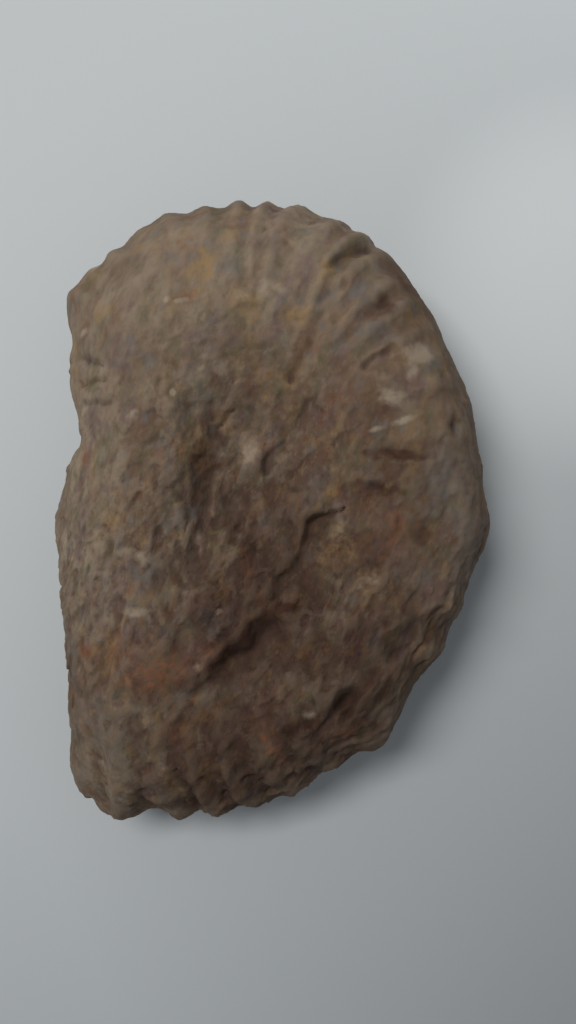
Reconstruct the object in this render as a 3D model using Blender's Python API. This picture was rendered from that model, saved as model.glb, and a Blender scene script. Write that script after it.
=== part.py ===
"""Ammonite fossil: a weathered, ribbed shell filled with limestone, broken along one side.

The stone is one closed body. Every point of it is worked out from a point of the unit ball: the
upper half of the ball gives the upper flank, the lower half gives the underside, and the ball's
equator gives the rim. Lengths in the tables are millimetres; the mesh is in metres.
The long axis is +Y, the stone lies on z = 0, and the origin is under the middle of its box.
"""
import bmesh
import bpy
import numpy as np

MM = 0.001

# --- Driving dimensions -------------------------------------------------------------------
HUB = (-3.05, 6.4)           # middle of the coil, from the middle of the stone
RIM_HEIGHT = 12.5            # widest line round the whole edge
BROKEN_RIM_HEIGHT = 10.0     # the same line on the broken left side
REST_LEVEL = -0.45           # height that wear has taken the underside down to
EDGE_START = 0.78            # share of the unit disc that the flank takes, before the edge turns
RIB_RELIEF = 1.15            # rib crest above the groove beside it
RIB_SHARPNESS = 1.1          # above 1: crests narrower than the grooves
RIB_BALANCE = 0.45           # share of the relief that lies below the flank
RIB_FLANK_SHARE = 0.8        # rib height on the flank against that on the edge
RIB_EDGE = (0.84, 0.97)      # share of the way out over which a rib passes on to the edge
RIB_SWING_START = 0.68       # share of the way out from which the ribs swing
RIB_RISE_WIDTH = 0.22        # share of the way out over which a rib rises
LUMP_SIZE = 7.0              # spacing of the stone's broad unevenness
LUMP_RELIEF = 0.6            # height of that unevenness
FLAKE_SIZE = 2.4             # spacing of the tilted flakes
FLAKE_STRETCH = 1.9          # their length over their width
FLAKE_RELIEF = 0.42          # their height where the stone is rough
FLAKE_SHARPNESS = 36.0       # how hard the edges between flakes are
GRAIN_ANGLE = 68.0           # the flakes run at this angle to +X
STRIP_MIDDLE = (-6.5, -8.0)  # patch of torn strips beside the hub
STRIP_REACH = (11.0, 4.5)    # half length and half width of the patch
STRIP_ANGLE = 78.0           # its direction from +X
STRIP_SIZE = 1.7             # width of a strip
STRIP_STRETCH = 5.0          # length of a strip over its width
STRIP_RELIEF = 0.9           # height of the strips
STRIP_SHARPNESS = 14.0       # how hard their edges are
WANDER = 0.45                # how far a broken edge strays from its path
WANDER_SIZE = 2.4            # spacing of those strays
CHIP_ROUNDING = 0.5          # how softly a broken facet meets its neighbours
RIM_FADE = 0.8               # the upper marks fade out below this steepness of the edge
BALL_STEPS = 7               # subdivisions of the starting ball
TRIANGLES = 8900             # wanted before the underside is cut flat
CUTTER_WIDTH = 200.0         # block that takes off the worn underside
CUTTER_HEIGHT = 20.0

# Share of the flakes' height that wear has left: (x, mm; share), then (y, mm; share)
ROUGH_ACROSS = [(-24, 0.70), (-9, 1.0), (6, 0.95), (18, 0.50)]
ROUGH_ALONG = [(-30, 1.25), (-12, 1.45), (4, 1.0), (18, 0.70), (32, 0.40)]

# Outline seen from above: (bearing about the hub, degrees; distance from the hub, mm)
OUTLINE = [
    (-180, 25.4), (-170, 27.0), (-160, 29.4), (-150, 31.2), (-140, 34.2), (-130, 40.0),
    (-125, 44.3), (-120, 50.9), (-115, 54.2), (-110, 53.4), (-105, 51.4), (-98, 50.0),
    (-90, 48.8), (-80, 46.1), (-75, 44.8), (-70, 43.6), (-65, 44.4), (-60, 41.7),
    (-52, 38.3), (-46, 37.9), (-40, 36.4), (-35, 36.3), (-30, 35.1), (-25, 34.9),
    (-19, 35.3), (-14, 34.5), (-5, 32.7), (10, 32.2), (30, 32.1), (48, 33.7), (57, 34.6),
    (65, 35.6), (80, 35.8), (95, 36.0), (110, 36.1), (118, 35.3), (130, 34.8),
    (139, 34.6), (142.5, 33.1), (145.5, 30.8), (150, 29.5), (155, 27.7), (162, 26.0),
    (170, 24.4), (175, 24.2),
]

# Share of that distance in which the edge rounds over: (bearing; share)
EDGE_SHARE = [
    (-170, 0.10), (-140, 0.10), (-118, 0.13), (-100, 0.19), (-70, 0.15), (-40, 0.14),
    (-10, 0.19), (20, 0.20), (50, 0.18), (90, 0.20), (120, 0.19), (140, 0.14),
    (160, 0.09),
]

# Height of the flanks from the hub outwards: (share of the way to the outline; height, mm)
UPPER_FLANK = [(0.0, 20.6), (0.15, 21.0), (0.30, 22.6), (0.45, 24.8), (0.60, 25.7),
               (0.75, 24.9), (0.90, 22.6), (1.0, 20.2)]
BROKEN_FLANK = [(0.0, 20.6), (0.20, 22.6), (0.38, 25.4), (0.52, 25.2), (0.70, 23.2),
                (0.85, 21.0), (1.0, 18.2)]
LOWER_FLANK = [(0.0, 2.6), (0.15, 2.2), (0.30, 0.7), (0.45, -0.5), (0.58, -0.6),
               (0.72, 0.2), (0.88, 2.2), (1.0, 4.4)]

# Bearings of the rib crests where they reach the outline, degrees
RIB_CRESTS = [
    -172, -163, -154, -145, -136, -127, -118.5, -109.5, -100.8, -94.6, -88.7, -81.8,
    -74, -66.5, -59, -51.5, -44, -36.5, -29.5, -22.5, -15.5, -8, -1, 6, 13, 20, 27.5,
    35, 41.5, 47.9, 55, 61.4, 68.3, 78.4, 85.6, 92.2, 100.3, 109.0, 116.2, 124.2,
    130.5, 137.8, 146, 155, 164, 173,
]
# How far the ribs swing clockwise over the outer part of the flank: (bearing; degrees)
RIB_SWING = [(-100, -7), (-60, -5), (0, 0), (40, 3), (52, 5), (62, 6), (70, 5), (80, 6),
             (92, 2), (150, 0), (-170, 0)]
# Share of the way out at which the ribs start to rise: (bearing; share)
RIB_RISE = [(-180, 0.60), (-100, 0.66), (-60, 0.60), (0, 0.50), (60, 0.46), (120, 0.50)]

# How much of the rib relief is left: (bearing; share)
RIBS_ON_EDGE = [
    (-170, 0.05), (-125, 0.10), (-112, 0.75), (-95, 0.95), (-80, 0.75), (-68, 0.30),
    (-30, 0.08), (30, 0.04), (50, 0.05), (56, 0.20), (62, 0.45), (70, 0.56), (105, 0.56),
    (116, 0.30), (124, 0.5), (130, 0.30), (138, 0.40), (148, 0.05),
]
RIBS_ON_FLANK = [
    (-170, 0.05), (-120, 0.20), (-110, 1.1), (-85, 1.3), (-65, 0.55), (-40, 0.15),
    (10, 0.25), (25, 0.30), (40, 0.45), (55, 0.75), (72, 0.70), (88, 0.40), (105, 0.25),
    (130, 0.15), (150, 0.10),
]

# Facets left by breaks: (bearing that the facet faces, its upward tilt, distance from the middle)
CHIPS = [
    (176, 36, 32.5), (204, 42, 39.5), (150, 46, 38.0), (228, 40, 45.0), (184, -42, 16.5),
    (214, -38, 28.0), (156, -40, 23.5), (240, -55, 20.5), (-66, 40, 38.5),
    (-58, -45, 19.0), (-42, 46, 35.5),
]

# Scarps, low on the right of their path: path, drop, width of the slope, reach of the low ground
SCARPS = [
    ([(-11.6, -3.4), (-10.4, -0.6), (-9.6, 2.2), (-9.2, 4.8), (-8.9, 7.4),
      (-7.8, 10.1), (-6.0, 12.4)], 1.4, 2.8, 4.5),
    ([(0.8, -12.2), (0.9, -10.4), (2.4, -8.8), (3.8, -6.6), (4.9, -3.9), (5.0, -2.1),
      (7.2, -1.2), (9.4, -0.4)], 1.1, 0.9, 4.0),
    ([(-9.6, -24.0), (-7.4, -21.9), (-5.2, -19.6), (-2.8, -17.0), (-1.2, -15.0),
      (1.6, -12.8)], 2.8, 3.0, 6.5),
    ([(15.4, -16.9), (19.2, -15.0), (23.2, -12.8)], 0.9, 1.2, 3.0),
    ([(-3.9, -14.6), (-3.2, -10.6), (-3.3, -5.0), (-3.7, -1.6)], -0.9, 0.7, 2.6),
    ([(-0.6, -1.6), (-0.7, 3.6), (-0.8, 8.8)], 0.7, 1.0, 1.6),
]
# Cracks and grooves: path with its half width at each point, depth
GROOVES = [
    ([(9.4, -0.4, 0.2), (7.2, -1.2, 0.4), (5.0, -2.1, 0.6), (4.8, -3.9, 0.7),
      (3.7, -6.6, 0.5), (2.3, -8.8, 0.6), (0.9, -10.4, 0.8), (0.9, -12.2, 0.9)], 1.0),
    ([(-4.4, -19.4, 0.5), (-7.2, -22.1, 0.9), (-9.6, -24.0, 0.4)], 0.7),
    ([(-5.5, 0.8, 0.3), (-4.0, -1.7, 0.5), (-3.6, -5.4, 0.55), (-3.7, -10.7, 0.6),
      (-4.4, -14.4, 0.4)], 0.9),
    ([(-7.0, 10.6, 0.3), (-6.0, 12.0, 0.45), (-5.0, 13.0, 0.2)], 0.8),
    ([(13.1, 34.9, 0.8), (10.2, 33.0, 0.9), (7.9, 31.0, 0.6)], 0.8),
    ([(9.6, 29.4, 0.5), (6.3, 23.6, 0.8), (2.6, 16.2, 0.5)], 0.7),
    ([(15.8, 20.6, 0.7), (12.2, 17.8, 0.5)], 0.8),
    ([(5.2, 13.6, 0.5), (3.6, 11.8, 0.3)], 0.5),
    ([(12.2, 6.6, 0.5), (19.6, 6.6, 0.7)], 0.5),
    ([(11.8, 2.6, 0.4), (17.0, 1.4, 0.6)], 0.4),
    ([(-27.2, 20.2, 0.5), (-22.4, 18.4, 0.3)], 0.7),
    ([(-26.6, 16.7, 0.5), (-21.8, 16.2, 0.3)], 0.7),
    ([(-25.8, 13.8, 0.5), (-21.2, 13.3, 0.3)], 0.6),
    ([(-12.4, -34.6, 0.3), (-11.0, -37.4, 0.5), (-10.1, -41.0, 0.7)], 0.9),
    ([(-17.4, -34.6, 0.4), (-17.7, -40.6, 0.8)], 0.7),
    ([(-6.6, -33.0, 0.4), (-5.7, -40.6, 0.8)], 0.6),
]
# Mounds and hollows: middle, half length, half width, angle of the length, height
MOUNDS = [
    ((2.2, -1.6), 12.0, 5.0, 58.0, 1.1),
    ((-0.4, -8.0), 5.0, 1.6, 80.0, -0.7),
    ((-2.7, 6.6), 3.4, 2.0, 62.0, 0.9),
    ((5.6, 29.0), 7.0, 1.5, 64.0, 0.5),
    ((12.6, 29.4), 3.8, 1.4, 38.0, 0.4),
    ((9.6, -25.6), 2.7, 1.1, 52.0, -2.6),
    ((19.6, -17.6), 3.2, 2.2, 40.0, -0.7),
    ((16.5, -19.4), 1.4, 1.0, 0.0, -0.9),
    ((24.4, 10.2), 1.2, 0.8, 80.0, -1.0),
    ((19.7, -3.5), 2.4, 1.4, 10.0, -0.6),
    ((15.2, 26.5), 1.6, 1.0, 60.0, -0.8),
    ((8.8, 32.2), 1.4, 0.9, 60.0, -0.7),
    ((17.0, 20.6), 2.6, 1.7, 20.0, 0.7),
    ((16.0, 15.6), 2.4, 1.2, -25.0, 0.8),
    ((-13.0, -35.5), 5.5, 1.5, 106.0, 0.6),
    ((1.6, -33.0), 6.5, 0.8, 118.0, 0.5),
]
# ------------------------------------------------------------------------------------------


def round_curve(points, bearing):
    """Smooth closed curve through (degrees, value) points, read at bearings in degrees."""
    at, value = np.array(sorted(points), dtype=float).T
    at = np.concatenate([at[-3:] - 360, at, at[:3] + 360])
    value = np.concatenate([value[-3:], value, value[:3]])
    slope = np.gradient(value, at)
    bearing = (np.asarray(bearing, dtype=float) - at[3]) % 360 + at[3]
    k = np.clip(np.searchsorted(at, bearing, side="right") - 1, 0, len(at) - 2)
    span = at[k + 1] - at[k]
    t = (bearing - at[k]) / span
    return ((1 + 2 * t) * (1 - t) ** 2 * value[k] + t * (1 - t) ** 2 * span * slope[k]
            + t ** 2 * (3 - 2 * t) * value[k + 1] + t ** 2 * (t - 1) * span * slope[k + 1])


def smooth_curve(points, at):
    """Smooth open curve through (share, value) points, level at both ends."""
    knot, value = np.array(points, dtype=float).T
    slope = np.gradient(value, knot)
    slope[0] = 0.0
    at = np.clip(at, knot[0], knot[-1])
    k = np.clip(np.searchsorted(knot, at, side="right") - 1, 0, len(knot) - 2)
    span = knot[k + 1] - knot[k]
    t = (at - knot[k]) / span
    return ((1 + 2 * t) * (1 - t) ** 2 * value[k] + t * (1 - t) ** 2 * span * slope[k]
            + t ** 2 * (3 - 2 * t) * value[k + 1] + t ** 2 * (t - 1) * span * slope[k + 1])


def smooth_step(low, high, value):
    """0 below low, 1 above high, and an S-shaped rise between them."""
    t = np.clip((value - low) / (high - low), 0, 1)
    return t * t * (3 - 2 * t)


def noise(points, seed):
    """Gradient noise, about -1 to 1, with features one unit apart."""
    table = np.random.default_rng(seed).permutation(256)
    cell = np.floor(points).astype(int)
    part = points - cell
    fade = part ** 3 * (part * (part * 6 - 15) + 10)
    total = np.zeros(len(points))
    for corner in np.ndindex(2, 2, 2):
        ix, iy, iz = ((cell + corner) & 255).T
        key = table[(table[(table[ix] + iy) & 255] + iz) & 255]
        angle = key * (2 * np.pi / 256)
        rise = (key * 37 % 256) / 127.5 - 1
        level = np.sqrt(1 - rise ** 2)
        away = part - corner
        dot = away[:, 0] * level * np.cos(angle) + away[:, 1] * level * np.sin(angle) + away[:, 2] * rise
        weight = np.prod(np.where(corner, fade, 1 - fade), axis=1)
        total += weight * dot
    return 1.5 * total


def facets(points, seed, sharpness):
    """Soft facets: a tilted plane round each jittered cell middle, blended by nearness."""
    generator = np.random.default_rng(seed)
    table = generator.permutation(256)
    kinds = generator.random((256, 7)) * 2 - 1      # place, height and tilt of each kind of facet
    cell = np.floor(points).astype(int)
    weights = np.zeros(len(points))
    heights = np.zeros(len(points))
    for corner in np.ndindex(3, 3, 3):
        middle = cell + corner - 1
        ix, iy, iz = (middle & 255).T
        kind = kinds[table[(table[(table[ix] + iy) & 255] + iz) & 255]]
        away = points - middle - 0.5 - 0.45 * kind[:, :3]
        weight = np.exp(-sharpness * np.sum(away ** 2, axis=1))
        weights += weight
        heights += weight * (0.5 * kind[:, 3] + np.sum(away * kind[:, 4:], axis=1))
    return heights / weights


def slanted(points, angle, stretch, size):
    """The points in axes turned about Z, so that features run along one direction and are longer."""
    c, s = np.cos(np.radians(angle)), np.sin(np.radians(angle))
    run = points[:, 0] * c + points[:, 1] * s
    across = points[:, 1] * c - points[:, 0] * s
    return np.stack([run / stretch, across, points[:, 2]], axis=1) / size


def spot(x, y, middle, half_length, half_width, angle):
    """A soft elliptical spot, 1 at its middle."""
    c, s = np.cos(np.radians(angle)), np.sin(np.radians(angle))
    u = (x - middle[0]) * c + (y - middle[1]) * s
    v = (y - middle[1]) * c - (x - middle[0]) * s
    return np.exp(-(u / half_length) ** 2 - (v / half_width) ** 2)


def to_path(x, y, path):
    """Distance to a path, how far along it (0 to 1), +1 on its left or -1 on its right."""
    path = np.array(path, dtype=float)[:, :2]
    lengths = np.hypot(*np.diff(path, axis=0).T)
    nearest = np.full(x.shape, np.inf)
    along = np.zeros(x.shape)
    side = np.ones(x.shape)
    for k, (start, end) in enumerate(zip(path[:-1], path[1:])):
        step = end - start
        px, py = x - start[0], y - start[1]
        t = np.clip((px * step[0] + py * step[1]) / lengths[k] ** 2, 0, 1)
        away = np.hypot(px - t * step[0], py - t * step[1])
        closer = away < nearest
        nearest = np.where(closer, away, nearest)
        along = np.where(closer, (lengths[:k].sum() + t * lengths[k]) / lengths.sum(), along)
        side = np.where(closer, np.sign(step[0] * py - step[1] * px), side)
    return nearest, along, side


def ribs(bearing, share):
    """Rib relief at a bearing about the hub and a share of the way out: rounded crests."""
    outer = np.clip((share - RIB_SWING_START) / (1 - RIB_SWING_START), 0, 1)
    at_outline = bearing + round_curve(RIB_SWING, bearing) * (outer ** 2 - 1)
    crests = np.array(RIB_CRESTS, dtype=float)
    crests = np.concatenate([crests[-2:] - 360, crests, crests[:2] + 360])
    place = np.interp((at_outline + 180) % 360 - 180, crests, np.arange(len(crests)))
    off_crest = place - np.round(place)
    shape = (0.5 + 0.5 * np.cos(2 * np.pi * off_crest)) ** RIB_SHARPNESS - RIB_BALANCE
    edge_zone = smooth_step(*RIB_EDGE, share)
    rise = round_curve(RIB_RISE, bearing)
    on_flank = round_curve(RIBS_ON_FLANK, bearing) * smooth_step(rise, rise + RIB_RISE_WIDTH, share)
    on_edge = round_curve(RIBS_ON_EDGE, bearing)
    return RIB_RELIEF * shape * (on_edge * edge_zone + RIB_FLANK_SHARE * on_flank * (1 - edge_zone))


def upper_marks(x, y):
    """Scarps, cracks, mounds and torn strips of the upper side, as one relief in millimetres."""
    relief = np.zeros(x.shape)
    for path, drop, width, reach in SCARPS:
        away, along, side = to_path(x, y, path)
        right = -side * away
        ends = smooth_step(0, 0.25, along) * (1 - smooth_step(0.75, 1, along))
        low = np.clip(right / width + 0.5, 0, 1) * np.exp(-(np.maximum(right, 0) / reach) ** 2)
        relief -= drop * low * ends
    for path, depth in GROOVES:
        away, along, side = to_path(x, y, path)
        half_width = np.interp(along, np.linspace(0, 1, len(path)), [point[2] for point in path])
        relief -= depth * np.exp(-(away / half_width) ** 2)
    for middle, half_length, half_width, angle, height in MOUNDS:
        relief += height * spot(x, y, middle, half_length, half_width, angle)
    flat = np.stack([x, y, np.zeros(len(x))], axis=1)
    torn = facets(slanted(flat, STRIP_ANGLE, STRIP_STRETCH, STRIP_SIZE), 81, STRIP_SHARPNESS)
    return relief + STRIP_RELIEF * torn * spot(x, y, STRIP_MIDDLE, *STRIP_REACH, STRIP_ANGLE)


def chipped(points):
    """The points with each broken facet taken off: what stands past its plane is pushed back to it."""
    for bearing, tilt, distance in CHIPS:
        b, e = np.radians(bearing), np.radians(tilt)
        facing = np.array([np.cos(e) * np.cos(b), np.cos(e) * np.sin(b), np.sin(e)])
        over = points @ facing - distance
        cut = (over + np.sqrt(over ** 2 + CHIP_ROUNDING ** 2)) / 2
        points = points - (cut * smooth_step(-4 * CHIP_ROUNDING, 0, over))[:, None] * facing
    return points


def unevenness(points):
    """Broad lumps, and long slanting flakes that are lower where the stone is worn smooth."""
    left = np.interp(points[:, 0], *np.transpose(ROUGH_ACROSS))
    left = left * np.interp(points[:, 1], *np.transpose(ROUGH_ALONG))
    flakes = facets(slanted(points, GRAIN_ANGLE, FLAKE_STRETCH, FLAKE_SIZE), 11, FLAKE_SHARPNESS)
    return LUMP_RELIEF * noise(points / LUMP_SIZE, 5) + FLAKE_RELIEF * left * flakes


def stone_points(ball):
    """The stone's surface point for each point of the unit ball, in metres."""
    upper = ball[:, 2] >= 0
    reach = np.sqrt(np.clip(1 - np.abs(ball[:, 2]), 0, 1))
    bearing = np.degrees(np.arctan2(ball[:, 1], ball[:, 0]))
    edge = round_curve(EDGE_SHARE, bearing)
    turn = np.clip((reach - EDGE_START) / (1 - EDGE_START), 0, 1) * np.pi / 2
    share = np.where(turn > 0, 1 - edge + edge * np.sin(turn), reach / EDGE_START * (1 - edge))
    outline = round_curve(OUTLINE, bearing)
    out_x, out_y = np.cos(np.radians(bearing)), np.sin(np.radians(bearing))
    x, y = HUB[0] + outline * share * out_x, HUB[1] + outline * share * out_y

    broken = np.clip(np.cos(np.radians(bearing - 190)), 0, 1)
    rim = RIM_HEIGHT + (BROKEN_RIM_HEIGHT - RIM_HEIGHT) * broken
    upper_flank = smooth_curve(UPPER_FLANK, share) * (1 - broken)
    upper_flank += smooth_curve(BROKEN_FLANK, share) * broken
    flank = np.where(upper, upper_flank, smooth_curve(LOWER_FLANK, share))
    z = rim + (flank - rim) * np.cos(turn)

    # The relief stands on the surface: straight up on a flank, outwards at the rim.
    sideways = np.sin(turn) / np.maximum(edge * outline, 1)
    upright = np.cos(turn) / np.maximum(np.abs(flank - rim), 1)
    length = np.hypot(sideways, upright)
    sideways, upright = sideways / length, upright / length * np.where(upper, 1, -1)
    facing = np.stack([sideways * out_x, sideways * out_y, upright], axis=1)
    smooth = chipped(np.stack([x, y, z], axis=1))
    stray_x = WANDER * noise(smooth / WANDER_SIZE, 61)
    stray_y = WANDER * noise(smooth / WANDER_SIZE, 62)
    marks = upper_marks(x + stray_x, y + stray_y) * smooth_step(0, RIM_FADE, np.cos(turn))
    relief = ribs(bearing, share) + unevenness(smooth) + np.where(upper, marks, 0)
    return (smooth + relief[:, None] * facing) * MM


def stone_material():
    """Brown weathered limestone."""
    material = bpy.data.materials.new("weathered_limestone")
    material.use_nodes = True
    shader = material.node_tree.nodes["Principled BSDF"]
    shader.inputs["Base Color"].default_value = (0.2, 0.145, 0.102, 1)
    shader.inputs["Roughness"].default_value = 0.9
    shader.inputs["Metallic"].default_value = 0.0
    return material


def floor_cutter():
    """A block under z = 0, which takes off what wear has taken off the underside."""
    mesh = bpy.data.meshes.new("wear_cutter")
    bm = bmesh.new()
    bmesh.ops.create_cube(bm, size=1)
    bmesh.ops.scale(bm, vec=(CUTTER_WIDTH * MM, CUTTER_WIDTH * MM, CUTTER_HEIGHT * MM), verts=bm.verts)
    bmesh.ops.translate(bm, vec=(0, 0, -CUTTER_HEIGHT / 2 * MM), verts=bm.verts)
    bm.to_mesh(mesh)
    bm.free()
    cutter = bpy.data.objects.new("wear_cutter", mesh)
    bpy.context.scene.collection.objects.link(cutter)
    cutter.display_type = "WIRE"
    cutter.hide_render = True
    return cutter


def ammonite():
    """The whole stone, thinned to a faceted solid and worn flat where it rests."""
    bm = bmesh.new()
    bmesh.ops.create_icosphere(bm, subdivisions=BALL_STEPS, radius=1)
    ball = np.array([v.co[:] for v in bm.verts])
    points = stone_points(ball)
    middle = (points.max(axis=0) + points.min(axis=0)) / 2
    points -= (middle[0], middle[1], REST_LEVEL * MM)
    for vertex, point in zip(bm.verts, points):
        vertex.co = point
    mesh = bpy.data.meshes.new("ammonite_fossil")
    bm.to_mesh(mesh)
    bm.free()
    mesh.materials.append(stone_material())
    mesh.shade_smooth()
    stone = bpy.data.objects.new("ammonite_fossil", mesh)
    bpy.context.scene.collection.objects.link(stone)

    thin = stone.modifiers.new("thin_out", "DECIMATE")
    thin.ratio = TRIANGLES / len(mesh.polygons)
    worn = stone.modifiers.new("worn_flat", "BOOLEAN")
    worn.operation = "DIFFERENCE"
    worn.solver = "EXACT"
    worn.object = floor_cutter()
    return stone


for old in list(bpy.data.objects):
    bpy.data.objects.remove(old, do_unlink=True)
ammonite()
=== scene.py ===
import bpy
import numpy as np
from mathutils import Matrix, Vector


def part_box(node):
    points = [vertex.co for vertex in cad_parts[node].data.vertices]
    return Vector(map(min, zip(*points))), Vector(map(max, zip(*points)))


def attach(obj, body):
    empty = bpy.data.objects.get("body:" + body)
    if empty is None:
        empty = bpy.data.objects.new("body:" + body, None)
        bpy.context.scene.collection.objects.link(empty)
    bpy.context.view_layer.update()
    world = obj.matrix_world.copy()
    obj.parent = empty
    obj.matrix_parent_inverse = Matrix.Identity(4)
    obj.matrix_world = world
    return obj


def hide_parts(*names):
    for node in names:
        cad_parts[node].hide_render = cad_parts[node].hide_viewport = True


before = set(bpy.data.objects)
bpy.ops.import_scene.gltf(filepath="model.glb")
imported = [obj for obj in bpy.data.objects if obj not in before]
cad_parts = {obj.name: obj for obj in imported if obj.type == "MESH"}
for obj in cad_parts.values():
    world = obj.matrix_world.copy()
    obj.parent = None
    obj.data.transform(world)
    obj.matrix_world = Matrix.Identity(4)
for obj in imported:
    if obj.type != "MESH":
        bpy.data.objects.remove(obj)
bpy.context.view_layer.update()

mm = 0.001                      # the stone is worked out in millimetres, as whole arrays


# An S-shaped rise from 0 at low to 1 at high: t * t * (3 - 2t).
def smoothStep(low, high, value):
    t = np.clip((value - low) / (high - low), 0, 1)
    return t * t * (3 - 2 * t)


# A cubic through knots: each span is a Hermite curve between its two values and slopes.
def hermite(knot, value, slope, at):
    k = np.clip(np.searchsorted(knot, at, side="right") - 1, 0, len(knot) - 2)
    span = knot[k + 1] - knot[k]
    t = (at - knot[k]) / span
    return ((1 + 2 * t) * (1 - t) ** 2 * value[k] + t * (1 - t) ** 2 * span * slope[k]
            + t ** 2 * (3 - 2 * t) * value[k + 1] + t ** 2 * (t - 1) * span * slope[k + 1])


# A closed curve of a bearing in degrees: the knots are repeated a turn before and after.
def roundCurve(points, bearing):
    knot, value = np.array(sorted(points), dtype=float).T
    knot = np.concatenate([knot[-3:] - 360, knot, knot[:3] + 360])
    value = np.concatenate([value[-3:], value, value[:3]])
    return hermite(knot, value, np.gradient(value, knot), (bearing - knot[3]) % 360 + knot[3])


# An open curve of the share of the way out, a cubic through its knots that starts level.
def flankCurve(points, share):
    knot, value = np.array(points, dtype=float).T
    slope = np.gradient(value, knot)
    slope[0] = 0.0
    return hermite(knot, value, slope, np.clip(share, knot[0], knot[-1]))


# Gradient noise: eight slanting planes, one for each corner of a unit cell, faded into each other
# by 6t^5 - 15t^4 + 10t^3 along each axis.
def noise(points, seed):
    table = np.random.default_rng(seed).permutation(256)
    cell = np.floor(points).astype(int)
    part = points - cell
    fade = part ** 3 * (part * (part * 6 - 15) + 10)
    total = np.zeros(points.shape[:-1])
    for corner in np.ndindex(2, 2, 2):
        ix, iy, iz = np.moveaxis((cell + corner) & 255, -1, 0)
        key = table[(table[(table[ix] + iy) & 255] + iz) & 255]
        angle = key * (2 * np.pi / 256)         # the way the plane slants, in the floor plane
        rise = (key * 37 % 256) / 127.5 - 1     # and upwards, from -1 to 1
        level = np.sqrt(1 - rise ** 2)
        away = part - corner
        slant = away[..., 0] * level * np.cos(angle) + away[..., 1] * level * np.sin(angle)
        slant = slant + away[..., 2] * rise
        total += slant * np.prod(np.where(corner, fade, 1 - fade), axis=-1)
    return 1.5 * total          # brings it to about -1 to 1


# Octaves of that noise, each half as wide and half as high as the one before.
def roughness(points, seed, octaves):
    return sum(noise(points * 2 ** k, seed + k) / 2 ** k for k in range(octaves))


# Soft facets: round every jittered cell middle lies a tilted plane of its own height, and the
# planes are blended by exp(-sharp * distance^2), so that they meet in soft steps.
def facets(points, seed, sharp):
    generator = np.random.default_rng(seed)
    table = generator.permutation(256)
    kinds = generator.random((256, 7)) * 2 - 1      # place, height and tilt of each kind of facet
    cell = np.floor(points).astype(int)
    weights, heights = np.zeros(points.shape[:-1]), np.zeros(points.shape[:-1])
    for corner in np.ndindex(3, 3, 3):
        middle = cell + corner - 1
        ix, iy, iz = np.moveaxis(middle & 255, -1, 0)
        kind = kinds[table[(table[(table[ix] + iy) & 255] + iz) & 255]]
        away = points - middle - 0.5 - 0.45 * kind[..., :3]     # it strays by up to 0.45 of a cell
        weight = np.exp(-sharp * np.sum(away ** 2, axis=-1))
        weights += weight
        heights += weight * (0.5 * kind[..., 3] + np.sum(away * kind[..., 4:], axis=-1))
    return heights / weights


# Points turned by an angle in the floor plane and squeezed along and across that direction.
def slanted(points, angle, along, across, upright):
    c, s = np.cos(np.radians(angle)), np.sin(np.radians(angle))
    run = points[..., 0] * c + points[..., 1] * s
    side = points[..., 1] * c - points[..., 0] * s
    return np.stack([run / along, side / across, points[..., 2] / upright], axis=-1)


# Distance from a path of straight pieces, the share of the way along it, and its left or right side.
def toPath(x, y, path):
    path = np.array(path, dtype=float)[:, :2]
    lengths = np.hypot(*np.diff(path, axis=0).T)
    nearest = np.full(x.shape, np.inf)
    along = np.zeros(x.shape)
    side = np.ones(x.shape)
    for k, (start, end) in enumerate(zip(path[:-1], path[1:])):
        step = end - start
        px, py = x - start[0], y - start[1]
        t = np.clip((px * step[0] + py * step[1]) / lengths[k] ** 2, 0, 1)
        away = np.hypot(px - t * step[0], py - t * step[1])
        closer = away < nearest
        nearest = np.where(closer, away, nearest)
        along = np.where(closer, (lengths[:k].sum() + t * lengths[k]) / lengths.sum(), along)
        side = np.where(closer, np.sign(step[0] * py - step[1] * px), side)
    return nearest, along, side


# A soft elliptical spot: exp(-(u/a)^2 - (v/b)^2) in the spot's own turned axes.
def spot(x, y, middle, halfLength, halfWidth, angle):
    c, s = np.cos(np.radians(angle)), np.sin(np.radians(angle))
    u = (x - middle[0]) * c + (y - middle[1]) * s
    v = (y - middle[1]) * c - (x - middle[0]) * s
    return np.exp(-(u / halfLength) ** 2 - (v / halfWidth) ** 2)


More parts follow.
